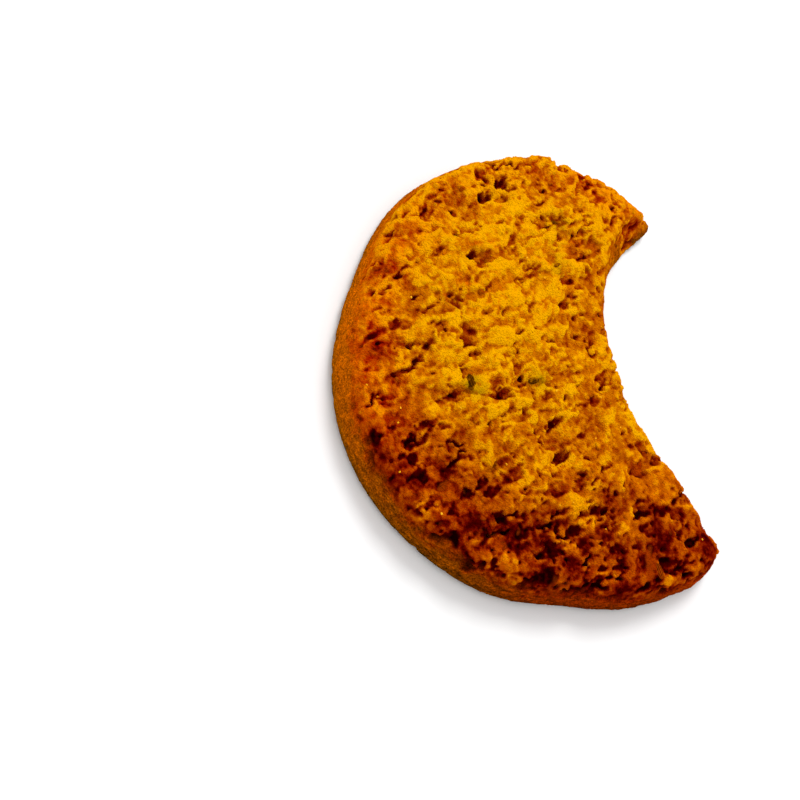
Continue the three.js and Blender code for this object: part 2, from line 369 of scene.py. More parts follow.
def shoulder_seam(tree, place):
    """1 along the row of pits where the left end's shoulder meets the top, 0 elsewhere."""
    offset = tree.vector("SUBTRACT", place, SEAM_MIDDLE)
    lengthwise = tree.maths("ABSOLUTE", tree.vector("DOT_PRODUCT", offset, SEAM_RUN))
    sideways = tree.maths("ABSOLUTE", tree.vector("DOT_PRODUCT", offset, SEAM_SIDE))
    return tree.times(tree.ramp(lengthwise, 12.0, 8.0), tree.ramp(sideways, 1.5, 0.4))


def close_crumb(tree, place):
    """1 where the crumb by the hollow is closer and smoother, 0 elsewhere."""
    return tree.near(place, CLOSE_CRUMB, 11.0, 5.0)


def hollows(tree, place):
    """1 in shallow flat-floored hollows of darker crumb, 0 elsewhere."""
    crumb = bpy.context.scene.cookie_crumb
    run = tree.drawn_out(place, crumb.run, crumb.stretch)
    return tree.ramp(tree.noise(run, millimetres(crumb.hollow_size), 3.0, 0.5), 0.585, 0.635)


def coarse_relief(tree, place):
    """Height of the torn crumb: terraces and clods with rounded granules, broken by pits and furrows."""
    crumb = bpy.context.scene.cookie_crumb
    warp = tree.vector("SUBTRACT", tree.noise(place, 1.5, 2.0, output=1), (0.5, 0.5, 0.5))
    warped = tree.vector("ADD", place, tree.vector("SCALE", warp, 1.3))
    run = tree.drawn_out(warped, crumb.run, crumb.stretch)
    long_run = tree.drawn_out(warped, crumb.run, 2.4)
    browned_side = tree.along(place, X, 6.0, 24.0)
    close = close_crumb(tree, place)
    open_side = tree.total(
        tree.times(browned_side, 0.012), tree.times(outer_shoulder(tree, place), 0.02),
        tree.times(close, -0.05), tree.times(shoulder_seam(tree, place), 0.05))

    brim = outer_rim(tree, place, 24.5, 28.5)
    flush = tree.line(brim, -0.20, 0.25)
    swells = tree.swing(place, millimetres(crumb.swell_size), 0.5, 1.0)
    swells = tree.times(swells, tree.line(brim, -0.6, 1.0))
    terraces = tree.ramp(tree.noise(run, millimetres(crumb.terrace_size), 3.0, 0.55), 0.44, 0.56, -0.5, 0.5)
    lumps = tree.ramp(tree.cells(run, millimetres(crumb.lump_size)), 0.85, 0.10, -0.5, 0.5)
    clods = tree.swing(warped, millimetres(crumb.clod_size), 0.5, 3.0, 0.6)
    granules = tree.ramp(tree.cells(warped, millimetres(crumb.granule_size)), 0.85, 0.10, -0.5, 0.5)
    grit = tree.ramp(tree.cells(place, millimetres(crumb.grit_size)), 0.85, 0.05, -0.5, 0.5)
    pit_noise = tree.total(tree.noise(run, millimetres(crumb.pit_size), 3.0, 0.55), open_side)
    pits = tree.ramp(pit_noise, 0.585, 0.78)
    furrow_noise = tree.total(tree.noise(long_run, millimetres(crumb.furrow_size), 3.0, 0.55), open_side)
    furrows = tree.ramp(furrow_noise, 0.56, 0.76)
    pore_noise = tree.noise(warped, millimetres(crumb.pore_size), 2.0, 0.5)
    pores = tree.times(tree.ramp(pore_noise, 0.58, 0.80), tree.line(browned_side, 0.4, 0.3))
    granules = tree.times(granules, tree.line(browned_side, 0.2, 1.0))
    calm_rim = tree.times(
        outer_rim(tree, place, 23.0, 28.0), tree.line(outer_shoulder(tree, place), -1.0, 1.0))
    calm = tree.times(tree.line(calm_rim, -0.55, 1.0), tree.line(close, -0.50, 1.0))
    broad = tree.total(
        tree.times(terraces, millimetres(crumb.terrace_height)),
        tree.times(lumps, millimetres(crumb.lump_height)),
        tree.times(clods, millimetres(crumb.clod_height)))
    return tree.total(
        tree.times(swells, millimetres(crumb.swell_height)),
        tree.times(broad, calm),
        tree.times(granules, millimetres(crumb.granule_height)),
        tree.times(grit, millimetres(crumb.grit_height)),
        tree.times(pits, -millimetres(crumb.pit_depth)),
        tree.times(furrows, -millimetres(crumb.furrow_depth)),
        tree.times(pores, -millimetres(crumb.pore_depth)),
        tree.times(hollows(tree, place), -millimetres(crumb.hollow_depth)),
        flush)


def wall_relief(tree, place):
    """Height of the fine side wall: grit, gentle waves and a few pores."""
    crumb = bpy.context.scene.cookie_crumb
    grit = tree.ramp(tree.cells(place, millimetres(crumb.grit_size) * 1.15), 0.85, 0.0, -0.09, 0.09)
    sway = tree.line(tree.noise(place, 3.2, 3.0, 0.6), 0.6, -0.24)
    pores = tree.ramp(tree.noise(place, 1.5, 2.0, 0.6), 0.66, 0.74, 0.0, -0.45)
    return tree.total(grit, sway, pores)


def base_relief(tree, place):
    """Height of the flat underside, which a few shallow dents break."""
    return tree.ramp(tree.noise(place, 1.7, 3.0, 0.6), 0.58, 0.70, 0.0, -0.38)


def carve_group():
    """Turns the smooth dough into crumb through a volume, so that crumb can overhang its pits."""
    crumb = bpy.context.scene.cookie_crumb
    tree, smooth = geometry_group("Crumbly dough")
    above, upward, nearest = above_dough(tree, smooth)
    spot = tree.vector("SCALE", tree.add("GeometryNodeInputPosition"), PER_METRE)
    offset = tree.vector("SUBTRACT", spot, nearest)
    place = tree.vector("ADD", nearest, tree.vector("SCALE", offset, crumb.overhang))
    height = tree.part(spot, Z)
    coarse = tree.ramp(exposure(tree, nearest, upward), 0.38, 1.12)
    sides = tree.blend(coarse, wall_relief(tree, place), coarse_relief(tree, place))
    relief = tree.blend(tree.ramp(height, 0.2, 1.1), base_relief(tree, place), sides)
    inside = tree.maths("SUBTRACT", relief, above)
    density = tree.line(inside, DENSITY_EACH_MILLIMETRE, SURFACE_DENSITY, clamp=True)

    margin = Vector((CARVE_MARGIN, CARVE_MARGIN, CARVE_MARGIN)) / PER_METRE
    low = CAD_LOW - margin
    high = CAD_HIGH + margin
    size = high - low
    cube = {"Density": density, "Min": low, "Max": high}
    for axis in "XYZ":
        cube["Resolution " + axis] = round(getattr(size, axis.lower()) / crumb.fineness)
    volume = tree.add("GeometryNodeVolumeCube", cube)
    inputs = {"Volume": volume, "Threshold": SURFACE_DENSITY}
    mesh = tree.add("GeometryNodeVolumeToMesh", inputs, resolution_mode="GRID")

    island = tree.add("GeometryNodeInputMeshIsland", output="Island Index")
    inputs = {"Value": 1, "Group ID": island}
    count = tree.add("GeometryNodeAccumulateField", inputs, output="Total", data_type="INT")
    inputs = {2: count, 3: SMALLEST_ISLAND}
    loose = tree.add("FunctionNodeCompare", inputs, data_type="INT", operation="LESS_THAN")
    whole = tree.add("GeometryNodeDeleteGeometry", {0: mesh, 1: loose}, domain="POINT")
    return close_group(tree, tree.add("GeometryNodeSetShadeSmooth", {0: whole}))


def named(tree, geometry, name, value):
    inputs = {0: geometry, "Name": name, "Value": value}
    return tree.add("GeometryNodeStoreNamedAttribute", inputs, data_type="FLOAT", domain="POINT")


def bulge(tree, steps):
    """How far a point stands out from its surroundings, in millimetres; they widen with the steps."""
    spot = tree.add("GeometryNodeInputPosition")
    inputs = {"Value": spot, "Iterations": steps}
    around = tree.add("GeometryNodeBlurAttribute", inputs, data_type="FLOAT_VECTOR")
    offset = tree.vector("SUBTRACT", spot, around)
    return tree.times(tree.vector("DOT_PRODUCT", offset, tree.add("GeometryNodeInputNormal")), PER_METRE)


def mark_group(smooth_dough, seeds):
    """Notes on each point of the crumb its depth, its coarseness, how far it belongs to the underside or to a
    shallow hollow, its bulge and how near an anise seed is."""
    tree, crumb = geometry_group("Crumb marks")
    smooth = tree.add("GeometryNodeObjectInfo", {"Object": smooth_dough}, output="Geometry")
    above, upward, nearest = above_dough(tree, smooth)
    place = tree.vector("SCALE", tree.add("GeometryNodeInputPosition"), PER_METRE)
    marked = named(tree, crumb, "relief", above)
    coarse = tree.ramp(exposure(tree, nearest, upward), 0.28, 1.05)
    marked = named(tree, marked, "coarse", coarse)
    marked = named(tree, marked, "under", tree.ramp(upward, -0.3, -0.9))
    marked = named(tree, marked, "hollow", hollows(tree, nearest))
    # The small bulge, which the crumb material turns into painted highlight on ridges and painted shade in
    # creases.
    marked = named(tree, marked, "edge", bulge(tree, 3))
    # The broad bulge, which the crumb material turns into painted highlight on lumps and painted shade between
    # them.
    marked = named(tree, marked, "lump", bulge(tree, 24))
    greenness = 0.0
    for seed in seeds:
        by_seed = tree.near(place, seed.place * PER_METRE, 2.6, 0.5, seed.tint)
        greenness = tree.maths("MAXIMUM", greenness, by_seed)
    return close_group(tree, named(tree, marked, "anise", greenness))


# ---------------------------------------------------------------- modelling helpers
def only(piece):
    """Selects one object and makes it active."""
    bpy.ops.object.select_all(action="DESELECT")
    piece.select_set(True)
    bpy.context.view_layer.objects.active = piece


def apply_modifier(piece, modifier):
    only(piece)
    bpy.ops.object.modifier_apply(modifier=modifier.name)


def apply_nodes(piece, group):
    modifier = piece.modifiers.new(group.name, "NODES")
    modifier.node_group = group
    apply_modifier(piece, modifier)


def copy_of(source, name):
    copy = source.copy()
    copy.data = source.data.copy()
    copy.name = name
    copy.parent = None
    copy.matrix_world = Matrix.Identity(4)
    bpy.context.scene.collection.objects.link(copy)
    return copy


def smooth_dough_copy(name):
    """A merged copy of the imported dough, which the crumb is carved from."""
    copy = copy_of(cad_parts[DOUGH_NODE], name)
    only(copy)
    bpy.ops.object.mode_set(mode="EDIT")
    bpy.ops.mesh.select_all(action="SELECT")
    bpy.ops.mesh.remove_doubles(threshold=MERGE_GAP)
    bpy.ops.object.mode_set(mode="OBJECT")
    bpy.ops.object.shade_smooth()
    return copy


def finish_piece(piece, material):
    piece.data.materials.clear()
    piece.data.materials.append(material)
    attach(piece, BODY)
    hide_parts(DOUGH_NODE)


# ---------------------------------------------------------------- crumb
class Seed:
    """Where an anise seed lies on the top, which way it points, how large it is, how far it stands out of the
    crumb, how green it is still and how far it tints the crumb round it."""

    def __init__(self, x, y, bearing, scale, lift, green, tint):
        self.place = Vector((x, y, SEED_HEIGHT)) / PER_METRE
        self.bearing = math.radians(bearing)
        self.scale = scale
        self.lift = lift / PER_METRE
        self.green = green
        self.tint = tint


ANISE_SEEDS = (
    Seed(4.1, -10.2, 17, 1.00, -0.48, 1.0, 1.0),
    Seed(2.7, -0.4, 108, 0.95, -0.44, 1.0, 1.0),
    Seed(-20.3, 7.1, 80, 0.50, -0.10, 0.8, 0.5),
    Seed(-8.3, -10.5, 20, 0.45, -0.12, 0.5, 0.4),
    Seed(-14.0, 6.2, 110, 0.50, -0.14, 0.7, 0.6),
    Seed(28.5, 14.1, 20, 0.80, -0.22, 0.0, 0.0),
    Seed(14.2, -9.0, 150, 0.45, -0.12, 0.4, 0.3),
)


class COOKIE_OT_crumb(bpy.types.Operator):
    """Carve the crumbly dough out of the smooth crescent"""

    bl_idname = "cookie.crumb"
    bl_label = "Crumbly dough"

    def execute(self, context):
        smooth = smooth_dough_copy("smooth_dough")
        crumb = smooth_dough_copy("baked_crumb")
        apply_nodes(crumb, carve_group())
        crumb.data.calc_loop_triangles()
        found = len(crumb.data.loop_triangles)
        if not found:
            raise RuntimeError("the crumb came out empty")
        thin = crumb.modifiers.new("Thin out", "DECIMATE")
        thin.ratio = min(1.0, context.scene.cookie_crumb.most_triangles / found)
        apply_modifier(crumb, thin)
        apply_nodes(crumb, mark_group(smooth, ANISE_SEEDS))
        bpy.data.objects.remove(smooth)
        finish_piece(crumb, crumb_material())
        return {"FINISHED"}


# ---------------------------------------------------------------- loose pieces
def scatter_group(name, grain, density, size, keep, seed, sink):
    """Realized copies of a grain on the crumb, thicker where keep is high, turned and sized at random."""
    tree, crumb = geometry_group(name)
    faces = {"Mesh": crumb, "Density": tree.times(density, keep(tree)), "Seed": seed}
    points = tree.add("GeometryNodeDistributePointsOnFaces", faces, distribute_method="RANDOM")
    normal = points.node.outputs["Normal"]
    lowered = tree.vector("SCALE", normal, -sink)
    points = tree.add("GeometryNodeSetPosition", {0: points, "Offset": lowered})
    golden = tree.ramp(tree.chance(0.0, 1.0, seed + 4), 0.96, 1.0, 0.0, 0.35)
    points = named(tree, points, "edge", tree.total(tree.chance(-0.08, 0.11, seed + 3), golden))
    shape = tree.add("GeometryNodeObjectInfo", {"Object": grain}, output="Geometry")
    turn = tree.chance_vector(0.0, 6.28, seed + 1)
    scale = tree.vector("SCALE", tree.chance_vector(0.6, 1.4, seed + 2), size)
    inputs = {"Points": points, "Instance": shape, "Rotation": turn, "Scale": scale}
    instances = tree.add("GeometryNodeInstanceOnPoints", inputs)
    return close_group(tree, tree.add("GeometryNodeRealizeInstances", {0: instances}))


def mark(tree, name):
    return tree.add("GeometryNodeInputNamedAttribute", {"Name": name}, data_type="FLOAT")


def on_crumb(tree):
    """Full on the coarse top, low on the wall, nothing at its foot or on the underside."""
    place = tree.vector("SCALE", tree.add("GeometryNodeInputPosition"), PER_METRE)
    off_base = tree.along(place, Z, 1.5, 3.0)
    patchy = tree.ramp(tree.noise(place, 3.0, 2.0), 0.35, 0.65, 0.45, 1.0)
    coarse = tree.line(mark(tree, "coarse"), 0.85, 0.15)
    return tree.times(off_base, patchy, coarse)


def out_of_pits(tree):
    """As on_crumb, but nothing in the pits."""
    return tree.times(on_crumb(tree), tree.ramp(mark(tree, "relief"), -0.5, -0.1))


def rough_ball(name, segments, rings, roughness, seed):
    """A small uneven ball, one unit across."""
    bpy.ops.object.select_all(action="DESELECT")
    bpy.ops.mesh.primitive_uv_sphere_add(segments=segments, ring_count=rings, radius=0.5)
    ball = bpy.context.active_object
    ball.name = name
    bpy.ops.object.mode_set(mode="EDIT")
    bpy.ops.mesh.select_all(action="SELECT")
    bpy.ops.transform.vertex_random(offset=roughness, seed=seed)
    bpy.ops.object.mode_set(mode="OBJECT")
    bpy.ops.object.shade_smooth()
    return ball


def scatter(name, grain, density, size, keep, seed, sink, material):
    """Makes a piece of many copies of a grain, sunk a little into the crumb, and removes the grain."""
    crumb = bpy.data.objects["baked_crumb"]
    piece = copy_of(crumb, name)
    apply_nodes(piece, scatter_group(name, grain, density, size, keep, seed, sink))
    bpy.data.objects.remove(grain)
    finish_piece(piece, material)
    return piece


class COOKIE_OT_grains(bpy.types.Operator):
    """Scatter small grains and larger nubs of crumb over the cookie"""

    bl_idname = "cookie.grains"
    bl_label = "Crumb grains and nubs"

    def execute(self, context):
        toppings = context.scene.cookie_toppings
        material = bpy.data.materials["Baked crumb"]
        grain = rough_ball("grain", 4, 2, 0.10, toppings.seed)
        scatter("crumb_grains", grain, toppings.grains_each_square_metre, toppings.grain_size, on_crumb,
                toppings.seed, 0.30 * toppings.grain_size, material)
        nub = rough_ball("nub", 8, 5, 0.10, toppings.seed + 1)
        scatter("crumb_nubs", nub, toppings.nubs_each_square_metre, toppings.nub_size, on_crumb,
                toppings.seed + 10, 0.25 * toppings.nub_size, material)
        return {"FINISHED"}


def ribbed_seed(length):
    """An anise seed along X: a pointed oval with ribs from end to end, marked where a point is on a rib."""
    bpy.ops.object.select_all(action="DESELECT")
    bpy.ops.mesh.primitive_uv_sphere_add(segments=20, ring_count=10, radius=0.5)
    seed = bpy.context.active_object
    ribs = seed.data.attributes.new("rib", "FLOAT", "POINT")
    for index, point in enumerate(seed.data.vertices):
        turn = math.atan2(point.co.y, point.co.x)
        on_rib = math.cos(10 * turn) > 0 and abs(point.co.z) < 0.49
        ribs.data[index].value = 1.0 if on_rib else 0.0
        point.select = not on_rib and abs(point.co.z) < 0.49
    bpy.ops.object.mode_set(mode="EDIT")
    bpy.context.tool_settings.mesh_select_mode = (True, False, False)
    bpy.ops.transform.resize(value=(0.86, 0.86, 1.0), center_override=(0, 0, 0))
    bpy.ops.object.mode_set(mode="OBJECT")
    for point in seed.data.vertices:
        point.select = point.co.z > 0.45
    bpy.ops.object.mode_set(mode="EDIT")
    bpy.ops.transform.translate(value=(0, 0, 0.12), use_proportional_edit=True, proportional_size=0.4)
    bpy.ops.mesh.select_all(action="SELECT")
    bpy.ops.transform.resize(value=(0.36 * length, 0.46 * length, length), center_override=(0, 0, 0))
    bpy.ops.transform.rotate(value=math.pi / 2, orient_axis="Y", center_override=(0, 0, 0))
    bpy.ops.object.mode_set(mode="OBJECT")
    bpy.ops.object.shade_smooth()
    return seed


class COOKIE_OT_anise(bpy.types.Operator):
    """Sink a few anise seeds into the crumb"""

    bl_idname = "cookie.anise"
    bl_label = "Anise seeds"

    def execute(self, context):
        crumb = bpy.data.objects["baked_crumb"]
        pattern = ribbed_seed(context.scene.cookie_toppings.seed_length)
        seeds = []
        for spot in ANISE_SEEDS:
            above = Vector((spot.place.x, spot.place.y, 2.0 * CAD_HIGH.z))
            hit, ground = crumb.ray_cast(above, Vector((0, 0, -1)))[:2]
            if not hit:
                raise RuntimeError("an anise seed has no crumb under it")
            seed = copy_of(pattern, "anise_seed")
            fresh = seed.data.attributes.new("fresh", "FLOAT", "POINT")
            fresh.data.foreach_set("value", [spot.green] * len(seed.data.vertices))
            seed.scale = (spot.scale, spot.scale, spot.scale)
            seed.rotation_euler = (0.0, SEED_PITCH, spot.bearing)
            seed.location = ground + Vector((0, 0, spot.lift))
            seeds.append(seed)
        bpy.data.objects.remove(pattern)
        bpy.ops.object.select_all(action="DESELECT")
        for seed in seeds:
            seed.select_set(True)
        context.view_layer.objects.active = seeds[0]
        bpy.ops.object.join()
        bpy.ops.object.transform_apply(location=True, rotation=True, scale=True)
        seeds[0].name = "anise_seeds"
        finish_piece(seeds[0], anise_material())
        return {"FINISHED"}


class COOKIE_OT_sugar(bpy.types.Operator):
    """Scatter a few grains of sugar that glint on the crumb"""

    bl_idname = "cookie.sugar"
    bl_label = "Sugar grains"

    def execute(self, context):
        toppings = context.scene.cookie_toppings
        bpy.ops.object.select_all(action="DESELECT")
        bpy.ops.mesh.primitive_cube_add(size=1.0)
        grain = context.active_object
        bpy.ops.object.mode_set(mode="EDIT")
        bpy.ops.mesh.select_all(action="SELECT")
        bpy.ops.mesh.bevel(offset=0.14, segments=1)
        bpy.ops.object.mode_set(mode="OBJECT")
        scatter("sugar_grains", grain, toppings.sugar_each_square_metre, toppings.sugar_size, out_of_pits,
                toppings.seed + 20, 0.1 * toppings.sugar_size, sugar_material())
        return {"FINISHED"}


# ---------------------------------------------------------------- materials
def opaque(colour):
    return (*colour, 1.0)


def shader_group(name, inputs, outputs):
    """A shader node group with named sockets; inputs give each number's usual value."""
    group = bpy.data.node_groups.new(name, "ShaderNodeTree")
    for label, default in inputs.items():
        if default is None:
            group.interface.new_socket(label, in_out="INPUT", socket_type="NodeSocketVector")
        else:
            socket = group.interface.new_socket(label, in_out="INPUT", socket_type="NodeSocketFloat")
            socket.default_value = default
    for label, kind in outputs.items():
        group.interface.new_socket(label, in_out="OUTPUT", socket_type="NodeSocket" + kind)
    tree = Tree(group)
    return tree, group.nodes.new("NodeGroupInput").outputs, group.nodes.new("NodeGroupOutput").inputs


def fine_grain_group():
    """Sandy grain finer than the carved crumb: a height for bump and a mottling of the tone."""
    inputs = {"Place": None, "Size": GRAIN_WIDTH}
    tree, given, out = shader_group("Fine grain", inputs, {"Height": "Float", "Mottle": "Float"})
    scale = tree.maths("DIVIDE", 1.0, given["Size"])
    scaled = tree.vector("SCALE", given["Place"], scale)
    sand = tree.ramp(tree.cells(scaled, 1.0), 0.9, 0.0)
    rough = tree.noise(scaled, 0.9, 3.0, 0.65)
    tree.feed(out["Height"], tree.total(tree.times(sand, 0.6), tree.times(rough, 0.8)))
    tree.feed(out["Mottle"], tree.swing(scaled, 1.6, 1.0, 3.0, 0.7))


def bake_group():
    """How far the bake has browned a place, from about 0 to 1, and how far it has reddened the rim there."""
    tree, given, out = shader_group("Browning", {"Place": None}, {"Browning": "Float", "Blush": "Float"})
    place = given["Place"]
    flat = tree.vector("MULTIPLY", place, (1.0, 1.0, 0.0))
    patches = tree.swing(place, 7.0, 0.45, 3.0, 0.55)
    to_right_horn = tree.along(place, X, 1.0, 27.0, -0.10, 0.80)
    rim = outer_rim(tree, place, 17.0, 31.0)
    right_rim = tree.times(rim, tree.along(place, X, -14.0, 12.0), 0.72)
    left_edge = tree.times(tree.along(place, X, -14.0, -24.0), tree.along(place, Y, 13.0, 8.0, 0.5, 1.0))
    left_end = tree.line(left_edge, -0.55, 1.0)
    left_rim = tree.times(rim, left_end, 0.36)
    inner_rim = tree.times(tree.near(flat, HOLLOW_CENTRE, 35.0, 29.5, 0.30), tree.along(place, X, 10.0, 1.0))
    inner_horn = tree.times(
        tree.near(flat, HOLLOW_CENTRE, 37.0, 30.0, -0.30), tree.along(place, X, 14.0, 20.0))
    horn_end = tree.near(flat, HORN_END, 7.0, 2.0, -0.35)
    inner_bake = tree.near(flat, INNER_BAKE, 8.0, 3.0, 0.65)
    pale_heart = tree.near(flat, PALE_HEART, 14.0, 3.0, -0.32)
    tree.feed(out["Browning"], tree.total(
        to_right_horn, right_rim, left_rim, inner_rim, inner_horn, horn_end, inner_bake, pale_heart,
        tree.times(patches, 0.42)))
    outer = outer_rim(tree, place, 23.0, 28.5)
    mildly = tree.along(place, X, 2.0, 18.0, 1.0, 0.35)
    blotches = tree.ramp(tree.noise(place, 2.6, 3.0, 0.6), 0.36, 0.62, 0.4, 1.0)
    tree.feed(out["Blush"], tree.times(outer, mildly, left_end, blotches))


def tone_colours(tree, tone):
    """The run of bake colours, from char at -0.4 to pale at 1."""
    colours = bpy.context.scene.cookie_colours
    stops = (
        (0.00, colours.char), (0.30, colours.ember), (0.43, colours.scorch), (0.56, colours.brown),
        (0.69, colours.amber), (0.83, colours.golden), (1.00, colours.pale))
    result = tree.add("ShaderNodeValToRGB", {"Fac": tree.line(tone, 0.714, 0.286)})
    elements = result.node.color_ramp.elements
    for spare in list(elements)[1:]:
        elements.remove(spare)
    elements[0].position, elements[0].color = stops[0][0], opaque(stops[0][1])
    for position, colour in stops[1:]:
        elements.new(position).color = opaque(colour)
    return result


def attribute(tree, name):
    return tree.add("ShaderNodeAttribute", output="Fac", attribute_name=name)


def new_material(name):
    material = bpy.data.materials.new(name)
    material.use_nodes = True
    tree = Tree(material.node_tree)
    shader = material.node_tree.nodes["Principled BSDF"]
    place = tree.vector("SCALE", tree.add("ShaderNodeTexCoord", output="Object"), PER_METRE)
    return material, tree, shader, place


def use_group(tree, name, inputs):
    node = tree.tree.nodes.new("ShaderNodeGroup")
    node.node_tree = bpy.data.node_groups[name]
    for key, value in inputs.items():
        tree.feed(node.inputs[key], value)
    return node.outputs


def crumb_tone(tree, place, browning, mottle):
    """How light the crumb is, which picks its colour: darker in pits, partly from the bake and partly as
    painted shade, darker in hollows and where it is browned, with painted highlight on bulges and painted
    shade between them.
    """
    # Darker with depth: partly the browner bake inside pits, partly painted shade in the recesses.
    depth = tree.times(
        tree.ramp(attribute(tree, "relief"), -1.5, 0.15, -0.44, 0.03), tree.line(browning, 0.15, 1.0))
    sunk = tree.times(attribute(tree, "hollow"), -0.13)
    # Painted highlight on small ridges and painted shade in small creases.
    edge_shading = tree.times(attribute(tree, "edge"), tree.line(browning, -0.4, 1.2))
    # Painted highlight on raised lumps and painted shade between them.
    lumps = tree.times(
        tree.ramp(attribute(tree, "lump"), -0.35, 0.35, -0.26, 0.26), tree.line(browning, 0.3, 1.0))
    patches = tree.swing(place, 1.7, 0.40, 3.0, 0.6)
    drifts = tree.times(tree.swing(place, 4.2, 0.56), tree.line(browning, 0.5, 1.0))
    rim = tree.near(place, OUTER_CENTRE, 22.0, 27.0, 0.7)
    crust_spots = tree.times(rim, tree.swing(place, 0.8, 0.5, 3.0, 0.65))
    return tree.total(
        0.765, depth, sunk, edge_shading, lumps, patches, drifts, crust_spots, tree.times(mottle, 0.13),
        tree.times(browning, -0.36))


def top_colour(tree, place, bake, mottle):
    """Colour of the torn crumb: a bake colour picked by a tone that holds painted highlight and shade,
    reddened at the rim, toasted in spots, green by the seeds.
    """
    colours = bpy.context.scene.cookie_colours
    tone = crumb_tone(tree, place, bake["Browning"], mottle)
    top = tone_colours(tree, tone)
    tint = tree.blend_colour(tree.ramp(tone, 0.72, 0.40), PALE_BLUSH, DARK_BLUSH)
    reddish = tree.blend_colour(1.0, top, tint, "MULTIPLY")
    top = tree.blend_colour(bake["Blush"], top, reddish)
    warmth = tree.times(bake["Browning"], tree.ramp(tone, 0.40, 0.70), 0.9)
    top = tree.blend_colour(warmth, top, WARM_BAKE, "MULTIPLY")
    toasted = tree.ramp(tree.noise(place, 3.6, 2.0, 0.5), 0.62, 0.74, 0.0, 0.7)
    top = tree.blend_colour(toasted, top, opaque(colours.toast))
    blots = tree.ramp(tree.noise(place, 1.1, 3.0, 0.6), 0.36, 0.60, 0.35, 1.0)
    green = tree.times(attribute(tree, "anise"), blots)
    return tree.blend_colour(green, top, opaque(colours.anise), "MULTIPLY")


def wall_colour(tree, place, browning, coarse, grain_mottle, sand_mottle):
    """Colour of the side wall and the underside: speckled ochre in thin layers, darker towards the foot;
    painted shade at the very foot, on the walls that face the key light and, with a browner bake, in dents;
    painted highlight and shade on small bulges.
    """
    colours = bpy.context.scene.cookie_colours
    under = attribute(tree, "under")
    on_wall = tree.maths("SUBTRACT", 1.0, under)
    low_down = tree.along(place, Z, 2.6, 0.1)
    wall = tree.blend_colour(low_down, opaque(colours.crust), opaque(colours.crust_dark))
    wall = tree.blend_colour(under, wall, opaque(colours.base))
    layers = tree.vector("MULTIPLY", place, (1.0, 1.0, 2.8))
    streaks = tree.swing(layers, 1.2, 0.55, 3.0, 0.6)
    # Painted shade on the horn's bevel and the hollow's wall, which face the key light.
    bevel_shade = tree.near(place, HORN_BEVEL, 9.0, 5.0)
    inner_wall_shade = tree.maths("MAXIMUM", bevel_shade, tree.near(place, HOLLOW_CENTRE, 31.5, 30.5))
    # Painted shade on the walls towards the left end, which face the key light.
    key_side_shade = tree.total(
        tree.along(place, X, 2.0, -14.0, 0.0, -0.12), tree.along(place, X, -14.0, -26.0, 0.0, -0.12))
    # The tone holds the painted shade above, and painted highlight and shade on small bulges.
    tone = tree.total(
        0.89, tree.times(browning, -0.32), streaks, tree.times(inner_wall_shade, -0.19), key_side_shade,
        tree.times(attribute(tree, "edge"), 0.5))
    speckle = tree.total(1.0, tree.times(grain_mottle, 0.90), tree.times(sand_mottle, 1.6))
    shade = tree.times(tone, tree.maths("MAXIMUM", speckle, 0.45))
    reddened = tree.times(on_wall, tree.along(place, X, 14.0, 24.0), tree.along(place, Y, -15.0, -1.0))
    less_green = tree.times(shade, tree.line(reddened, -0.5, 1.0), tree.ramp(coarse, 0.0, 0.4, 1.0, 0.72))
    tint = tree.add("ShaderNodeCombineColor", (shade, less_green, shade))
    wall = tree.blend_colour(1.0, wall, tint, "MULTIPLY")
    # Dents in the wall turn brown: partly a browner bake, partly painted shade in the recesses.
    dent_shade_and_bake = tree.ramp(attribute(tree, "relief"), -0.15, -0.7, 0.0, 0.8)
    wall = tree.blend_colour(dent_shade_and_bake, wall, opaque(colours.brown))
    # Painted shade along the foot of the wall, where the floor shades it; not on the underside.
    foot = tree.times(tree.along(place, Z, 1.0, 0.2), on_wall)
    return tree.blend_colour(foot, wall, FOOT_SHADE, "MULTIPLY")


def crumb_material():
    fine_grain_group()
    bake_group()
    material, tree, shader, place = new_material("Baked crumb")
    coarse = attribute(tree, "coarse")
    grain = use_group(tree, "Fine grain", {"Place": place, "Size": GRAIN_WIDTH})
    sand = use_group(tree, "Fine grain", {"Place": place, "Size": SAND_WIDTH})
    bake = use_group(tree, "Browning", {"Place": place})
    top = top_colour(tree, place, bake, grain["Mottle"])
    wall = wall_colour(tree, place, bake["Browning"], coarse, grain["Mottle"], sand["Mottle"])
    tree.feed(shader.inputs["Base Color"], tree.blend_colour(coarse, wall, top))
    shader.inputs["Roughness"].default_value = 0.85
    shader.inputs["Specular IOR Level"].default_value = 0.0
    strength = tree.line(coarse, 0.55, 0.40)
    inputs = {"Strength": strength, "Distance": BUMP_DEPTH, "Height": grain["Height"]}
    bump = tree.add("ShaderNodeBump", inputs)
    tree.feed(shader.inputs["Normal"], bump)
    return material


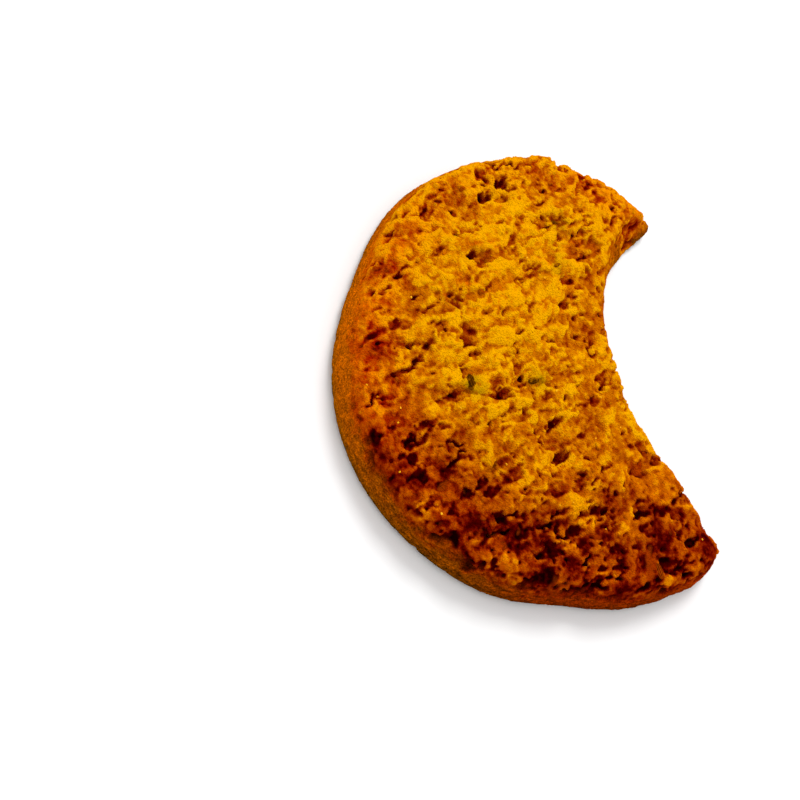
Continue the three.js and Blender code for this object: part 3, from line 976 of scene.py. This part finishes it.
def anise_material():
    colours = bpy.context.scene.cookie_colours
    material, tree, shader, place = new_material("Anise seed")
    rib = tree.ramp(attribute(tree, "rib"), 0.3, 1.0)
    husk = tree.blend_colour(rib, opaque(colours.seed), opaque(colours.seed_rib))
    baked = tree.blend_colour(rib, opaque(colours.scorch), opaque(colours.seed_baked))
    clinging = tree.blend_colour(1.0, opaque(colours.golden), opaque(colours.anise), "MULTIPLY")
    patches = tree.ramp(tree.noise(place, 0.75, 3.0, 0.6), 0.47, 0.58, 0.0, 0.85)
    husk = tree.blend_colour(patches, husk, clinging)
    colour = tree.blend_colour(attribute(tree, "fresh"), baked, husk)
    speck = tree.ramp(tree.noise(place, 0.3, 3.0, 0.7), 0.35, 0.65, 0.55, 1.25)
    tone = tree.add("ShaderNodeCombineColor", (speck, speck, speck))
    tree.feed(shader.inputs["Base Color"], tree.blend_colour(1.0, colour, tone, "MULTIPLY"))
    shader.inputs["Roughness"].default_value = 0.7
    shader.inputs["Specular IOR Level"].default_value = 0.0
    return material


def sugar_material():
    colours = bpy.context.scene.cookie_colours
    material, tree, shader, place = new_material("Sugar")
    cloud = tree.noise(place, 0.3, 2.0)
    colour = tree.blend_colour(cloud, opaque(colours.sugar), opaque(colours.pale))
    tree.feed(shader.inputs["Base Color"], colour)
    shader.inputs["Roughness"].default_value = 0.45
    shader.inputs["Specular IOR Level"].default_value = 0.08
    return material


# ---------------------------------------------------------------- stage
def place_camera(stage):
    """Looks at the cookie from the front and above, with the picture turned about the line of sight."""
    azimuth = stage.azimuth
    elevation = stage.elevation
    flat = Vector((math.sin(azimuth), -math.cos(azimuth), 0.0))
    back = flat * math.cos(elevation) + Vector((0, 0, 1)) * math.sin(elevation)
    level = Vector((0, 0, 1)).cross(back).normalized()
    right = Matrix.Rotation(stage.roll, 3, back) @ level
    up = back.cross(right)
    focus = Vector(FOCUS)
    data = bpy.data.cameras.new("camera")
    data.lens = stage.lens
    data.clip_start = NEAREST_SEEN
    data.clip_end = FARTHEST_SEEN
    camera = bpy.data.objects.new("camera", data)
    bpy.context.scene.collection.objects.link(camera)
    camera.matrix_world = Matrix.Translation(focus + back * stage.distance) @ Matrix(
        (right, up, back)).transposed().to_4x4()
    bpy.context.scene.camera = camera


def hang_light(name, place, size, power):
    data = bpy.data.lights.new(name, "AREA")
    data.size = size
    data.energy = power
    light = bpy.data.objects.new(name, data)
    bpy.context.scene.collection.objects.link(light)
    light.location = place
    light.rotation_euler = Vector(place).to_track_quat("Z", "Y").to_euler()


class COOKIE_OT_stage(bpy.types.Operator):
    """Lay the pale floor, hang the soft lights and set the camera"""

    bl_idname = "cookie.stage"
    bl_label = "Stage"

    def execute(self, context):
        stage = context.scene.cookie_stage
        bpy.ops.object.select_all(action="DESELECT")
        bpy.ops.mesh.primitive_plane_add(size=FLOOR_WIDTH, location=(0, 0, CAD_LOW.z - FLOOR_GAP))
        floor = context.active_object
        floor.name = "floor"
        material, _, shader, _ = new_material("Pale floor")
        shader.inputs["Base Color"].default_value = opaque(stage.floor)
        shader.inputs["Roughness"].default_value = 0.9
        shader.inputs["Specular IOR Level"].default_value = 0.2
        floor.data.materials.append(material)

        world = bpy.data.worlds.new("Soft light")
        context.scene.world = world
        world.use_nodes = True
        sky = world.node_tree.nodes["Background"]
        sky.inputs["Color"].default_value = (1, 1, 1, 1)
        sky.inputs["Strength"].default_value = stage.sky
        hang_light("key", KEY_PLACE, KEY_WIDTH, stage.key)
        place_camera(stage)
        context.scene.view_settings.view_transform = "Standard"
        return {"FINISHED"}


class COOKIE_PT_panel(bpy.types.Panel):
    """Lists the steps of making the cookie"""

    bl_label = "Anise crescent cookie"
    bl_idname = "COOKIE_PT_panel"
    bl_space_type = "VIEW_3D"
    bl_region_type = "UI"
    bl_category = "Cookie"

    def draw(self, context):
        for step in STEPS:
            self.layout.operator(step.bl_idname)


STEPS = (COOKIE_OT_crumb, COOKIE_OT_grains, COOKIE_OT_anise, COOKIE_OT_sugar, COOKIE_OT_stage)
GROUPS = {
    "cookie_crumb": CrumbSettings,
    "cookie_colours": ColourSettings,
    "cookie_toppings": ToppingSettings,
    "cookie_stage": StageSettings,
}


def register():
    for cls in (*GROUPS.values(), *STEPS, COOKIE_PT_panel):
        bpy.utils.register_class(cls)
    for name, group in GROUPS.items():
        setattr(bpy.types.Scene, name, bpy.props.PointerProperty(type=group))


def unregister():
    for name in GROUPS:
        delattr(bpy.types.Scene, name)
    for cls in reversed((*GROUPS.values(), *STEPS, COOKIE_PT_panel)):
        bpy.utils.unregister_class(cls)


def main():
    register()
    bpy.ops.cookie.crumb()
    bpy.ops.cookie.grains()
    bpy.ops.cookie.anise()
    bpy.ops.cookie.sugar()
    bpy.ops.cookie.stage()


if __name__ == "__main__":
    main()
